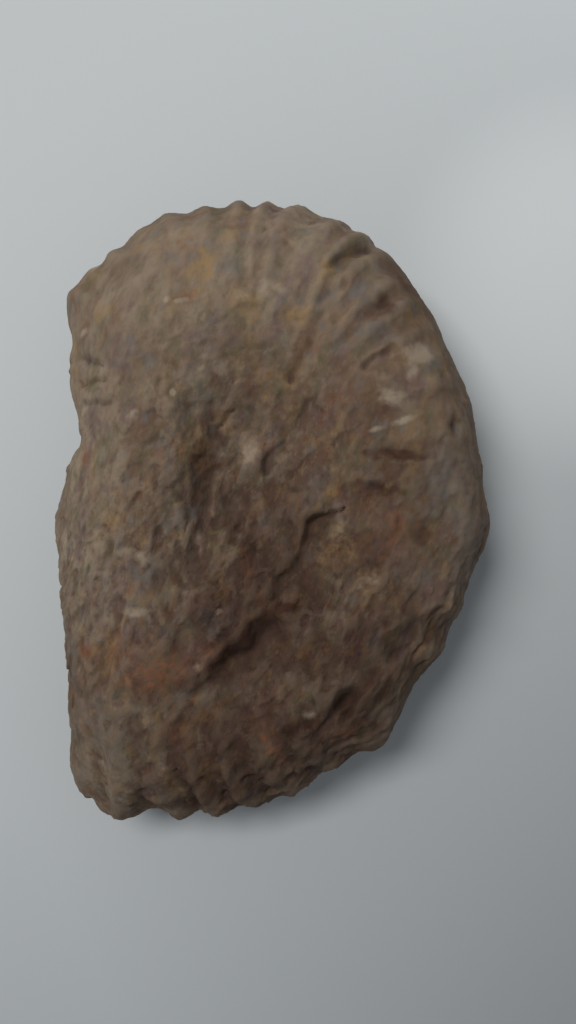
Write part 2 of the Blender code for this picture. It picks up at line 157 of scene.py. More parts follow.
ribbing = dict(
    relief=1.15,
    sharpness=1.1,
    furrow=0.45,                # share of the relief that lies below the flank's own level
    edgeZone=(0.84, 0.97),      # share of the way out in which the edge's ribs take over
    flankAmount=0.8,            # the flank's ribs against the edge's
    swingStart=0.68,            # share of the way out from which the ribs swing round
    swing=[                     # bearing, and the degrees that they swing by
        (-170, 0), (-100, -7), (-60, -5), (0, 0), (40, 3), (52, 5), (62, 6), (70, 5), (80, 6),
        (92, 2), (150, 0),
    ],
    crests=[                    # bearings at which the ribs reach the outline
        -172, -163, -154, -145, -136, -127, -118.5, -109.5, -100.8, -94.6, -88.7, -81.8,
        -74, -66.5, -59, -51.5, -44, -36.5, -29.5, -22.5, -15.5, -8, -1, 6, 13, 20, 27.5,
        35, 41.5, 47.9, 55, 61.4, 68.3, 78.4, 85.6, 92.2, 100.3, 109.0, 116.2, 124.2,
        130.5, 137.8, 146, 155, 164, 173,
    ],
    onEdge=[                    # bearing, share of the relief on the edge
        (-170, 0.05), (-125, 0.10), (-112, 0.75), (-95, 0.95), (-80, 0.75), (-68, 0.30),
        (-30, 0.08), (30, 0.04), (50, 0.05), (56, 0.20), (62, 0.45), (70, 0.56), (105, 0.56),
        (116, 0.30), (124, 0.5), (130, 0.30), (138, 0.40), (148, 0.05),
    ],
    onFlank=[                   # bearing, share of the relief on the flank
        (-170, 0.05), (-120, 0.20), (-110, 1.1), (-85, 1.3), (-65, 0.55), (-40, 0.15),
        (10, 0.25), (25, 0.30), (40, 0.45), (55, 0.75), (72, 0.70), (88, 0.40), (105, 0.25),
        (130, 0.15), (150, 0.10),
    ],
    rise=[                      # bearing, share of the way out from which the ribs rise
        (-180, 0.60), (-100, 0.66), (-60, 0.60), (0, 0.50), (60, 0.46), (120, 0.50),
    ],
    riseWidth=0.22,
)


# Ribs: rounded crests, (1/2 + cos(2 pi t)/2)^sharpness - furrow across each rib, read at the
# bearing where the swinging rib reaches the outline.
def ribRelief(bearing, share):
    outer = np.clip((share - ribbing["swingStart"]) / (1 - ribbing["swingStart"]), 0, 1)
    atOutline = bearing + roundCurve(ribbing["swing"], bearing) * (outer ** 2 - 1)
    crests = np.array(ribbing["crests"], dtype=float)
    crests = np.concatenate([crests[-2:] - 360, crests, crests[:2] + 360])
    place = np.interp((atOutline + 180) % 360 - 180, crests, np.arange(len(crests)))
    offCrest = place - np.round(place)
    shape = (0.5 + 0.5 * np.cos(2 * np.pi * offCrest)) ** ribbing["sharpness"] - ribbing["furrow"]
    edgeZone = smoothStep(*ribbing["edgeZone"], share)
    rise = roundCurve(ribbing["rise"], bearing)
    onFlank = roundCurve(ribbing["onFlank"], bearing)
    onFlank = ribbing["flankAmount"] * onFlank * smoothStep(rise, rise + ribbing["riseWidth"], share)
    amount = roundCurve(ribbing["onEdge"], bearing) * edgeZone + onFlank * (1 - edgeZone)
    return ribbing["relief"] * shape * amount


breaks = dict(
    scarps=[                    # path, drop on its right, width of the slope, reach of the low ground
        ([(-11.6, -3.4), (-10.4, -0.6), (-9.6, 2.2), (-9.2, 4.8), (-8.9, 7.4),
          (-7.8, 10.1), (-6.0, 12.4)], 1.4, 2.8, 4.5),
        ([(0.8, -12.2), (0.9, -10.4), (2.4, -8.8), (3.8, -6.6), (4.9, -3.9), (5.0, -2.1),
          (7.2, -1.2), (9.4, -0.4)], 1.1, 0.9, 4.0),
        ([(-9.6, -24.0), (-7.4, -21.9), (-5.2, -19.6), (-2.8, -17.0), (-1.2, -15.0),
          (1.6, -12.8)], 2.8, 3.0, 6.5),
        ([(15.4, -16.9), (19.2, -15.0), (23.2, -12.8)], 0.9, 1.2, 3.0),
        ([(-3.9, -14.6), (-3.2, -10.6), (-3.3, -5.0), (-3.7, -1.6)], -0.9, 0.7, 2.6),
        ([(-0.6, -1.6), (-0.7, 3.6), (-0.8, 8.8)], 0.7, 1.0, 1.6),
    ],
    grooves=[                   # path with its half width, depth
        ([(9.4, -0.4, 0.2), (7.2, -1.2, 0.4), (5.0, -2.1, 0.6), (4.8, -3.9, 0.7),
          (3.7, -6.6, 0.5), (2.3, -8.8, 0.6), (0.9, -10.4, 0.8), (0.9, -12.2, 0.9)], 1.0),
        ([(-4.4, -19.4, 0.5), (-7.2, -22.1, 0.9), (-9.6, -24.0, 0.4)], 0.7),
        ([(-5.5, 0.8, 0.3), (-4.0, -1.7, 0.5), (-3.6, -5.4, 0.55), (-3.7, -10.7, 0.6),
          (-4.4, -14.4, 0.4)], 0.9),
        ([(-7.0, 10.6, 0.3), (-6.0, 12.0, 0.45), (-5.0, 13.0, 0.2)], 0.8),
        ([(13.1, 34.9, 0.8), (10.2, 33.0, 0.9), (7.9, 31.0, 0.6)], 0.8),
        ([(9.6, 29.4, 0.5), (6.3, 23.6, 0.8), (2.6, 16.2, 0.5)], 0.7),
        ([(15.8, 20.6, 0.7), (12.2, 17.8, 0.5)], 0.8),
        ([(5.2, 13.6, 0.5), (3.6, 11.8, 0.3)], 0.5),
        ([(12.2, 6.6, 0.5), (19.6, 6.6, 0.7)], 0.5),
        ([(11.8, 2.6, 0.4), (17.0, 1.4, 0.6)], 0.4),
        ([(-27.2, 20.2, 0.5), (-22.4, 18.4, 0.3)], 0.7),
        ([(-26.6, 16.7, 0.5), (-21.8, 16.2, 0.3)], 0.7),
        ([(-25.8, 13.8, 0.5), (-21.2, 13.3, 0.3)], 0.6),
        ([(-12.4, -34.6, 0.3), (-11.0, -37.4, 0.5), (-10.1, -41.0, 0.7)], 0.9),
        ([(-17.4, -34.6, 0.4), (-17.7, -40.6, 0.8)], 0.7),
        ([(-6.6, -33.0, 0.4), (-5.7, -40.6, 0.8)], 0.6),
    ],
    mounds=[                    # middle, half length, half width, angle, height
        ((2.2, -1.6), 12.0, 5.0, 58.0, 1.1),
        ((-0.4, -8.0), 5.0, 1.6, 80.0, -0.7),
        ((-2.7, 6.6), 3.4, 2.0, 62.0, 0.9),
        ((5.6, 29.0), 7.0, 1.5, 64.0, 0.5),
        ((12.6, 29.4), 3.8, 1.4, 38.0, 0.4),
        ((9.6, -25.6), 2.7, 1.1, 52.0, -2.6),
        ((19.6, -17.6), 3.2, 2.2, 40.0, -0.7),
        ((16.5, -19.4), 1.4, 1.0, 0.0, -0.9),
        ((24.4, 10.2), 1.2, 0.8, 80.0, -1.0),
        ((19.7, -3.5), 2.4, 1.4, 10.0, -0.6),
        ((15.2, 26.5), 1.6, 1.0, 60.0, -0.8),
        ((8.8, 32.2), 1.4, 0.9, 60.0, -0.7),
        ((17.0, 20.6), 2.6, 1.7, 20.0, 0.7),
        ((16.0, 15.6), 2.4, 1.2, -25.0, 0.8),
        ((-13.0, -35.5), 5.5, 1.5, 106.0, 0.6),
        ((1.6, -33.0), 6.5, 0.8, 118.0, 0.5),
    ],
    strips=dict(                # the patch that they lie in, then the strips themselves
        middle=(-6.5, -8.0), halfLength=11.0, halfWidth=4.5, angle=78.0,
        stretch=5.0, size=1.7, height=0.9, sharp=14.0, seed=81,
    ),
    scarpFade=0.25,             # share of a scarp's path in which each of its ends dies out
    wander=0.45,                # how far an edge strays from its path
    wanderSize=2.4, wanderSeeds=(61, 62),
)


# The upper side's breaks, all added up. A scarp steps down over its width, and its low ground comes
# up again by exp(-(d / reach)^2); a groove is cut by exp(-(d / halfWidth)^2); a mound is a soft
# spot; and the torn strips are long narrow facets inside a soft spot.
def breakRelief(x, y):
    relief = np.zeros(x.shape)
    for path, drop, width, reach in breaks["scarps"]:
        away, along, side = toPath(x, y, path)
        right = -side * away
        fade = breaks["scarpFade"]
        ends = smoothStep(0, fade, along) * (1 - smoothStep(1 - fade, 1, along))
        low = np.clip(right / width + 0.5, 0, 1) * np.exp(-(np.maximum(right, 0) / reach) ** 2)
        relief -= drop * low * ends
    for path, depth in breaks["grooves"]:
        away, along, _ = toPath(x, y, path)
        halfWidth = np.interp(along, np.linspace(0, 1, len(path)), [point[2] for point in path])
        relief -= depth * np.exp(-(away / halfWidth) ** 2)
    for middle, halfLength, halfWidth, angle, height in breaks["mounds"]:
        relief += height * spot(x, y, middle, halfLength, halfWidth, angle)
    strip = breaks["strips"]
    flat = np.stack([x, y, np.zeros(x.shape)], axis=-1)
    torn = facets(slanted(flat, strip["angle"], strip["stretch"], 1, 1) / strip["size"],
                  strip["seed"], strip["sharp"])
    zone = spot(x, y, strip["middle"], strip["halfLength"], strip["halfWidth"], strip["angle"])
    return relief + strip["height"] * torn * zone


chips = dict(
    rounding=0.5,
    blend=4,                    # the cut begins this many roundings before the plane
    facets=[                    # bearing and upward tilt that a broken facet faces, its distance
        (176, 36, 32.5), (204, 42, 39.5), (150, 46, 38.0), (228, 40, 45.0), (184, -42, 16.5),
        (214, -38, 28.0), (156, -40, 23.5), (240, -55, 20.5), (-66, 40, 38.5),
        (-58, -45, 19.0), (-42, 46, 35.5),
    ],
)


# Each facet is a plane: what stands past it is pushed back to it along the facet's facing, by
# (d + sqrt(d^2 + rounding^2)) / 2, which leaves the facet's edge soft.
def chipped(points):
    r = chips["rounding"]
    for bearing, tilt, distance in chips["facets"]:
        b, e = np.radians(bearing), np.radians(tilt)
        facing = np.array([np.cos(e) * np.cos(b), np.cos(e) * np.sin(b), np.sin(e)])
        over = points @ facing - distance
        cut = (over + np.sqrt(over ** 2 + r ** 2)) / 2 * smoothStep(-chips["blend"] * r, 0, over)
        points = points - cut[..., None] * facing
    return points


weathering = dict(
    roughAcross=[(-24, 0.70), (-9, 1.0), (6, 0.95), (18, 0.50)],    # x, share of the roughness
    roughAlong=[(-30, 1.25), (-12, 1.45), (4, 1.0), (18, 0.70), (32, 0.40)],    # y, and the same
    grainAngle=68.0,            # the way the stone's flakes run
    lumpSize=7.0, lumpHeight=0.6,
    flakeSize=2.4, flakeStretch=1.9, flakeHeight=0.42, flakeSharp=36.0,
    chipSize=1.05, chipStretch=1.4, chipHeight=0.24, chipSharp=26.0,
    swellSize=2.4, swellHeight=0.16,
    sandSize=0.7, sandHeight=0.05,
    seeds=dict(lumps=5, flakes=11, chips=21, swells=31, sand=51),
)


# Share of the roughness: a product of one curve over x and one over y.
def roughShare(points):
    across, along = np.array(weathering["roughAcross"]).T, np.array(weathering["roughAlong"]).T
    return np.interp(points[..., 0], *across) * np.interp(points[..., 1], *along)


# Weathered surface: lumps, and long slanting flakes, smaller chips and swells by the share of the
# roughness, and sand, all added up.
def weatherRelief(points):
    w, seeds = weathering, weathering["seeds"]
    flakes = facets(slanted(points, w["grainAngle"], w["flakeStretch"], 1, 1) / w["flakeSize"],
                    seeds["flakes"], w["flakeSharp"])
    chipping = facets(slanted(points, w["grainAngle"], w["chipStretch"], 1, 1) / w["chipSize"],
                      seeds["chips"], w["chipSharp"])
    fine = (w["flakeHeight"] * flakes + w["chipHeight"] * chipping
            + w["swellHeight"] * noise(points / w["swellSize"], seeds["swells"]))
    return (w["lumpHeight"] * noise(points / w["lumpSize"], seeds["lumps"])
            + fine * roughShare(points)
            + w["sandHeight"] * noise(points / w["sandSize"], seeds["sand"]))


form = dict(
    hub=(-3.05, 6.4),           # middle of the coil
    rimHeight=12.5,
    brokenRimHeight=10.0, brokenBearing=190,    # the rim on the broken side, and where that faces
    restLevel=-0.45,            # height that wear has taken the underside down to
    edgeStart=0.78,             # share of the grid that the flank takes
    breakFade=0.8,              # the breaks fade out where the edge's upward facing falls below this
    outline=[                   # bearing, distance from the hub
        (-180, 25.4), (-170, 27.0), (-160, 29.4), (-150, 31.2), (-140, 34.2), (-130, 40.0),
        (-125, 44.3), (-120, 50.9), (-115, 54.2), (-110, 53.4), (-105, 51.4), (-98, 50.0),
        (-90, 48.8), (-80, 46.1), (-75, 44.8), (-70, 43.6), (-65, 44.4), (-60, 41.7),
        (-52, 38.3), (-46, 37.9), (-40, 36.4), (-35, 36.3), (-30, 35.1), (-25, 34.9),
        (-19, 35.3), (-14, 34.5), (-5, 32.7), (10, 32.2), (30, 32.1), (48, 33.7), (57, 34.6),
        (65, 35.6), (80, 35.8), (95, 36.0), (110, 36.1), (118, 35.3), (130, 34.8),
        (139, 34.6), (142.5, 33.1), (145.5, 30.8), (150, 29.5), (155, 27.7), (162, 26.0),
        (170, 24.4), (175, 24.2),
    ],
    edgeShare=[                 # bearing, share of the way out in which the edge turns over
        (-170, 0.10), (-140, 0.10), (-118, 0.13), (-100, 0.19), (-70, 0.15), (-40, 0.14),
        (-10, 0.19), (20, 0.20), (50, 0.18), (90, 0.20), (120, 0.19), (140, 0.14),
        (160, 0.09),
    ],
    upperFlank=[                # share of the way out, height
        (0.0, 20.6), (0.15, 21.0), (0.30, 22.6), (0.45, 24.8), (0.60, 25.7), (0.75, 24.9),
        (0.90, 22.6), (1.0, 20.2),
    ],
    brokenFlank=[
        (0.0, 20.6), (0.20, 22.6), (0.38, 25.4), (0.52, 25.2), (0.70, 23.2), (0.85, 21.0),
        (1.0, 18.2),
    ],
    lowerFlank=[
        (0.0, 2.6), (0.15, 2.2), (0.30, 0.7), (0.45, -0.5), (0.58, -0.6), (0.72, 0.2),
        (0.88, 2.2), (1.0, 4.4),
    ],
)


# One flank for square-grid coordinates u, v from -1 to 1. The square is pressed into a disc by
# u * sqrt(1 - v^2/2), v * sqrt(1 - u^2/2); the disc's rim becomes the stone's rim, and the outer
# ring of the disc turns through a quarter ellipse from the flank down to the rim.
def flankSurface(u, v, upper):
    discX, discY = u * np.sqrt(1 - v * v / 2), v * np.sqrt(1 - u * u / 2)
    reach = np.clip(np.hypot(discX, discY), 0, 1)
    bearing = np.degrees(np.arctan2(discY, discX))
    edge = roundCurve(form["edgeShare"], bearing)
    turn = np.clip((reach - form["edgeStart"]) / (1 - form["edgeStart"]), 0, 1) * np.pi / 2
    share = np.where(turn > 0, 1 - edge + edge * np.sin(turn), reach / form["edgeStart"] * (1 - edge))
    outline = roundCurve(form["outline"], bearing)
    outX, outY = np.cos(np.radians(bearing)), np.sin(np.radians(bearing))
    x = form["hub"][0] + outline * share * outX
    y = form["hub"][1] + outline * share * outY

    broken = np.clip(np.cos(np.radians(bearing - form["brokenBearing"])), 0, 1)
    rim = form["rimHeight"] + (form["brokenRimHeight"] - form["rimHeight"]) * broken
    if upper:
        flank = flankCurve(form["upperFlank"], share) * (1 - broken)
        flank = flank + flankCurve(form["brokenFlank"], share) * broken
    else:
        flank = flankCurve(form["lowerFlank"], share)
    z = rim + (flank - rim) * np.cos(turn)

    sideways = np.sin(turn) / np.maximum(edge * outline, 1)
    upright = np.cos(turn) / np.maximum(np.abs(flank - rim), 1)
    length = np.hypot(sideways, upright)
    sideways, upright = sideways / length, upright / length * (1 if upper else -1)
    body = chipped(np.stack([x, y, z], axis=-1))
    relief = ribRelief(bearing, share) + weatherRelief(body)
    if upper:
        strayX, strayY = (breaks["wander"] * noise(body / breaks["wanderSize"], seed)
                          for seed in breaks["wanderSeeds"])
        fade = smoothStep(0, form["breakFade"], np.cos(turn))
        relief = relief + breakRelief(x + strayX, y + strayY) * fade
    facing = np.stack([sideways * outX, sideways * outY, upright], axis=-1)
    return body + relief[..., None] * facing - np.array([0, 0, form["restLevel"]])


# Averages each grid point, counted twice, with its four neighbours, a number of times over.
def blurred(field, times):
    for _ in range(times):
        wide = np.pad(field, ((1, 1), (1, 1), (0, 0)), mode="edge")
        field = (wide[1:-1, :-2] + wide[1:-1, 2:] + wide[:-2, 1:-1] + wide[2:, 1:-1] + 2 * field) / 6
    return field


# How far the surface lies below its own blurred copy, (blurred - surface) . facing, where the facing
# is the cross product of the grid's two directions: above 0 in hollows.
def hollowness(surface, times):
    facing = np.cross(np.gradient(surface, axis=0), np.gradient(surface, axis=1))
    facing = facing / np.maximum(np.linalg.norm(facing, axis=-1, keepdims=True), 1e-9)
    return np.sum((blurred(surface, times) - surface) * facing, axis=-1)


# Soft spots of colour: middle, half length, half width, angle, strength.
stains = dict(
    bleached=[                  # worn pale areas and painted highlights on lit rims and facets, which turn to cream where their strength passes 1
        ((-14.0, 29.0), 24.0, 11.0, 12, 0.9), ((-26.0, 8.0), 20.0, 6.5, 88, 1.65),
        ((-26.5, -7.0), 10.0, 6.5, 92, 1.75), ((-8.0, 17.0), 5.0, 4.0, 0, 0.9),
        ((3.0, 30.0), 8.0, 6.0, -20, 0.8), ((-2.8, 27.0), 4.5, 3.6, 0, 1.4),
        ((3.0, 38.0), 8.0, 5.0, 0, 1.25), ((-23.0, -37.0), 7.0, 6.0, 80, 0.95),
        ((-16.0, 16.0), 10.0, 8.0, 40, 0.5), ((-11.3, -9.3), 4.2, 1.7, 85, 0.75),
        ((-11.2, 3.4), 4.0, 2.0, 80, 0.5), ((-0.2, 6.8), 3.4, 1.5, 90, 1.2),
        ((12.0, 3.8), 2.4, 1.8, 0, 0.7), ((20.6, 3.8), 1.4, 3.4, 0, 0.7),
        ((12.4, 37.0), 2.6, 1.6, -45, 1.45), ((13.6, 27.6), 3.0, 1.0, 40, 0.9),
        ((-6.2, -1.0), 1.4, 2.0, 0, 0.7), ((7.8, -31.0), 3.0, 1.6, 25, 0.8),
        ((0.9, 25.8), 1.4, 2.4, -20, 1.25), ((-5.8, -8.8), 1.2, 1.6, 0, 0.8),
        ((14.4, -19.2), 3.8, 1.2, 42, 0.8), ((-8.0, 12.2), 1.3, 1.7, 0, 0.8),
        ((-0.2, -19.0), 1.8, 1.2, 40, 0.8), ((1.4, -1.9), 2.4, 1.2, 80, 0.6),
        ((9.6, -34.0), 3.0, 1.8, 20, 0.5), ((-12.6, -42.2), 2.6, 1.6, 0, 0.5),
        ((1.6, 13.2), 2.4, 2.0, 0, 0.35), ((-21.4, 20.2), 3.0, 2.6, 0, 1.3),
        ((-6.2, 16.4), 2.2, 2.4, 0, 1.25), ((-3.8, 31.8), 2.4, 2.6, 0, 1.15),
        ((-4.4, 41.2), 3.0, 2.0, 0, 0.55),
    ],
    russet=[                    # reddish stains and painted shade on grooves, scarps and slopes facing away from the light, deeper where their strength passes 1
        ((-2.0, -15.0), 12.0, 9.0, 50, 1.0), ((12.0, -19.0), 12.0, 9.0, 40, 0.8),
        ((-9.3, 4.9), 4.4, 2.1, 86, 1.0), ((-3.0, -17.4), 6.8, 1.6, 43, 2.8),
        ((2.0, -13.1), 2.6, 1.3, 15, 2.5), ((-5.2, -3.0), 2.6, 0.7, 110, 1.6),
        ((3.9, -6.0), 6.0, 1.0, 62, 1.3), ((-6.0, -35.0), 13.0, 9.0, 8, 0.9),
        ((7.0, -30.0), 12.0, 7.0, 30, 0.9), ((2.0, -3.0), 8.0, 6.0, 60, 0.55),
        ((-10.5, 3.0), 9.0, 3.6, 82, 0.3), ((13.0, -6.0), 9.0, 8.0, 20, 0.6),
        ((20.0, 2.0), 10.0, 5.0, 90, 0.35), ((2.6, -9.0), 16.0, 7.0, 90, 0.95),
        ((-11.0, -22.0), 9.0, 7.0, 30, 0.7), ((-2.7, -6.4), 6.0, 1.1, 88, 1.9),
        ((-7.2, -14.0), 3.6, 2.6, 70, 1.3), ((-6.0, -29.0), 11.0, 4.5, 10, 1.2),
        ((14.0, 1.0), 13.0, 8.0, 85, 0.6), ((-7.7, -14.3), 2.6, 3.6, 20, 1.8),
        ((5.5, -19.5), 5.0, 4.0, 0, 1.25), ((12.6, -25.2), 4.5, 2.6, 30, 1.2),
        ((16.3, 6.4), 4.2, 0.7, 0, 1.6), ((13.7, 2.4), 3.8, 0.6, -8, 1.4),
        ((16.2, 31.4), 5.5, 1.6, -49, 0.6), ((-6.3, -17.2), 3.0, 1.6, 35, 2.2),
        ((9.8, -27.2), 2.2, 1.3, 60, 2.2), ((11.6, -5.6), 6.0, 3.5, 15, 1.1),
        ((15.2, 26.0), 1.6, 1.2, 0, 0.9), ((19.8, -4.2), 1.4, 1.2, 0, 1.2),
        ((-14.9, -10.0), 1.6, 2.4, 0, 0.8), ((-19.5, 32.0), 4.5, 2.5, 50, 0.55),
        ((2.8, -29.0), 3.6, 1.5, 65, 1.9), ((21.0, -17.0), 2.0, 1.4, 40, 1.0),
        ((-2.6, -32.0), 2.8, 1.0, 120, 1.1), ((17.3, -11.1), 1.6, 1.4, 0, 0.9),
        ((1.6, -6.4), 1.2, 2.2, 0, 1.2), ((-3.3, 0.6), 1.6, 1.2, 90, 1.3),
        ((-15.2, -6.9), 2.6, 2.2, 0, 0.40), ((-14.6, -1.6), 2.4, 2.6, 0, 0.40),
        ((16.9, -8.0), 2.6, 2.2, 0, 0.66), ((7.8, -7.9), 2.4, 2.2, 0, 0.70),
        ((22.4, -19.4), 2.2, 1.4, 40, 0.48), ((8.6, 18.0), 2.6, 2.0, 0, 0.32),
    ],
    rust=[
        ((-24.4, -18.8), 1.8, 1.3, 0, 0.8), ((-14.4, -21.6), 6.5, 2.8, 12, 0.62),
        ((-19.0, -19.0), 6.0, 3.0, 0, 0.45), ((-12.1, -29.8), 2.0, 2.6, 60, 0.55),
        ((-25.3, 7.1), 1.2, 1.6, 0, 0.6), ((-3.5, -7.6), 1.1, 3.2, 8, 0.45),
        ((-8.0, -19.0), 3.4, 2.4, 30, 0.45), ((-10.8, 34.0), 1.2, 1.6, 0, 0.5),
        ((-10.8, 27.4), 1.3, 1.5, 0, 0.6), ((0.2, -31.0), 1.3, 4.4, 30, 0.6),
        ((14.0, 6.4), 4.0, 1.2, 0, 0.35), ((16.0, -3.4), 3.8, 3.0, 30, 0.55),
        ((9.0, 14.0), 4.0, 2.0, 30, 0.4), ((9.8, -30.4), 4.5, 1.5, 25, 0.5),
        ((5.0, 21.0), 2.0, 3.0, 0, 0.35), ((22.5, 11.0), 1.6, 2.2, 0, 0.4),
    ],
    ochre=[
        ((-8.6, 31.1), 2.4, 2.1, 0, 0.9), ((-5.3, 35.3), 1.8, 1.6, 0, 0.5),
        ((-3.3, 26.1), 2.6, 2.2, 0, 0.7), ((3.9, 24.6), 2.0, 1.7, 0, 0.8),
        ((7.2, 30.7), 1.5, 2.6, -30, 0.6), ((-2.8, 7.6), 2.2, 1.6, 30, 0.4),
        ((8.5, -5.5), 4.6, 3.6, 0, 0.45), ((-22.0, 25.6), 3.4, 1.6, 0, 0.6),
        ((-9.0, 8.0), 2.0, 5.0, -10, 0.35), ((13.0, -10.0), 4.0, 4.0, 0, 0.3),
        ((-15.0, 34.0), 3.0, 2.0, 0, 0.4), ((8.0, 29.0), 2.6, 1.6, 60, 0.4),
        ((17.0, 19.0), 3.0, 2.0, 0, 0.4), ((-5.0, -20.8), 2.4, 1.4, 40, 0.4),
        ((-12.9, -36.8), 1.3, 2.8, 15, 0.5), ((-7.8, -36.8), 1.0, 2.6, 10, 0.45),
    ],
    pale=[                      # bare specks and small patches of light mineral
        ((13.8, 9.9), 1.4, 0.45, 12, 0.65), ((17.2, 10.9), 1.7, 0.55, 14, 0.8),
        ((19.3, 19.8), 2.0, 1.4, 0, 1.2), ((18.3, 17.6), 1.0, 1.4, 0, 0.75),
        ((15.9, 14.0), 2.5, 1.3, -20, 0.7), ((9.2, -2.5), 1.1, 1.6, -20, 0.4),
        ((9.4, -14.0), 1.8, 1.0, 0, 0.3), ((12.7, -10.0), 2.6, 1.4, 30, 0.33),
        ((5.0, -27.1), 1.3, 0.9, 0, 0.5), ((-2.8, 6.9), 2.2, 1.5, 50, 0.6),
        ((-2.0, 8.4), 0.7, 0.7, 0, 0.4), ((-13.4, 26.6), 0.6, 0.5, 0, 0.7),
        ((-11.6, 26.4), 1.0, 0.45, 5, 0.8), ((-8.6, 24.2), 0.6, 0.5, 0, 0.7),
        ((-12.5, 14.7), 0.5, 0.6, 0, 0.8), ((-6.6, 18.1), 1.2, 1.9, 10, 0.6),
        ((-17.8, 11.7), 1.2, 0.8, 30, 0.6), ((-16.6, -7.0), 0.9, 1.2, 20, 0.7),
        ((-19.0, -6.0), 2.0, 1.0, 0, 0.4), ((-17.1, -13.6), 2.0, 0.7, 0, 0.7),
        ((-22.0, -9.0), 2.4, 0.9, 0, 0.45), ((-6.6, -13.6), 0.6, 0.6, 0, 0.55),
        ((-6.5, -15.9), 0.6, 0.7, 0, 0.5), ((-9.5, -20.9), 0.9, 0.8, 0, 0.42),
        ((-25.5, 23.5), 1.0, 0.7, 0, 0.7), ((-24.4, 33.4), 1.6, 1.0, 50, 0.6),
        ((5.6, 25.4), 1.4, 1.3, 0, 0.35), ((-0.4, 28.0), 2.2, 3.0, 70, 0.5),
        ((-3.7, 27.2), 1.6, 1.8, 0, 0.45), ((-22.0, 7.0), 2.4, 1.6, 40, 0.3),
        ((-14.0, -34.0), 0.9, 3.6, 8, 0.35), ((-0.6, -30.4), 0.8, 4.6, 30, 0.18),
        ((-9.0, -31.0), 0.7, 3.0, 10, 0.35),
    ],
    slate=[                     # bluish grey remains of the shell
        ((7.4, 26.8), 0.7, 4.0, -32, 0.8), ((13.8, 22.6), 2.6, 1.6, 40, 0.8),
        ((12.4, 27.0), 3.4, 1.6, -40, 0.6), ((22.4, 3.0), 2.0, 5.5, 0, 0.85),
        ((-16.6, -8.6), 2.2, 2.6, 20, 0.8), ((-17.4, -13.0), 3.2, 1.6, 0, 0.5),
        ((20.6, -9.0), 2.6, 2.2, 20, 0.5), ((26.0, -7.0), 14.0, 3.4, 92, 0.55),
        ((-7.4, -15.0), 2.4, 3.4, 30, 0.45), ((16.0, -28.0), 3.0, 2.0, 30, 0.3),
        ((-21.0, -30.0), 4.0, 5.0, 0, 0.45), ((-8.0, 20.0), 3.6, 2.0, 60, 0.4),
        ((-19.5, 20.0), 3.0, 4.0, 0, 0.35), ((-10.0, -0.6), 2.2, 1.4, 30, 0.6),
        ((-6.4, 0.4), 2.4, 1.6, 0, 0.5),
    ],
    stray=dict(bleached=1.5, russet=1.1, rust=1.1, ochre=1.0, pale=0.35, slate=0.9),
    straySize=2.6, straySeeds=(71, 81),         # how far and how finely the spots' edges wander
)


# One kind of stain: soft spots read at places that noise leads astray, the strongest one winning.
def stainField(kind, points):
    stray = [stains["stray"][kind] * roughness(points / stains["straySize"], seed, 2)
             for seed in stains["straySeeds"]]
    field = np.zeros(points.shape[:-1])
    for middle, halfLength, halfWidth, angle, strength in stains[kind]:
        patch = spot(points[..., 0] + stray[0], points[..., 1] + stray[1],
                     middle, halfLength, halfWidth, angle)
        field = np.maximum(field, strength * patch)
    return field


grid = dict(
    across=190, along=262,      # cells over each flank
    hollowBlur=24, basinBlur=260,               # rounds of averaging that find the hollows
)


# The whole stone: a grid for each flank, where the underside takes the upper flank's border points,
# so that the two meet in one closed rim.
def stoneMesh():
    nu, nv = grid["across"] + 1, grid["along"] + 1
    u, v = np.meshgrid(np.linspace(-1, 1, nu), np.linspace(-1, 1, nv), indexing="ij")
    top, under = flankSurface(u, v, True), flankSurface(u, v, False)
    inner = np.zeros((nu, nv), dtype=bool)
    inner[1:-1, 1:-1] = True
    topIndex = np.arange(nu * nv).reshape(nu, nv)
    underIndex = topIndex.copy()
    underIndex[inner] = nu * nv + np.arange(inner.sum())

    # values of the upper flank's points, then of the underside's inner ones
    def joined(ofTop, ofUnder):
        return np.concatenate([ofTop.reshape(nu * nv, -1), ofUnder[inner].reshape(inner.sum(), -1)])

    # a grid's faces, turned over where the step is -1
    def quads(index, step):
        corners = (index[:-1, :-1], index[1:, :-1], index[1:, 1:], index[:-1, 1:])
        return np.stack(corners[::step], axis=-1).reshape(-1, 4)

    points = joined(top, under)
    points[:, 2] = np.maximum(points[:, 2], 0)      # wear stops at the floor, in the resting flats
    faces = np.concatenate([quads(topIndex, 1), quads(underIndex, -1)])

    middle = (points.max(axis=0) + points.min(axis=0)) / 2
    low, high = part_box("ammonite_fossil")           # the stone is centred over this box
    points[:, :2] += (np.array(low) + np.array(high))[:2] / 2 / mm - middle[:2]

    mesh = bpy.data.meshes.new("ammoniteStone")
    mesh.from_pydata((points * mm).tolist(), [], faces.tolist())
    fields = dict(rough=joined(roughShare(top), roughShare(under)))
    # how deep each point lies in a hollow or basin, which the limestone darkens as painted shade and
    # lightens on crests as wear
    for name in ("hollow", "basin"):
        times = grid[name + "Blur"]
        fields[name] = joined(hollowness(top, times), -hollowness(under, times))
    for kind in stains["stray"]:
        fields[kind] = joined(stainField(kind, top), np.zeros(under.shape[:-1]))
    for name, values in fields.items():
        layer = mesh.attributes.new(name, "FLOAT", "POINT")
        layer.data.foreach_set("value", values.ravel().astype(np.float32))
        print(f"  field {name} from {values.min():.2f} to {values.max():.2f}")
    mesh.shade_smooth()
    mesh.update()
    return mesh


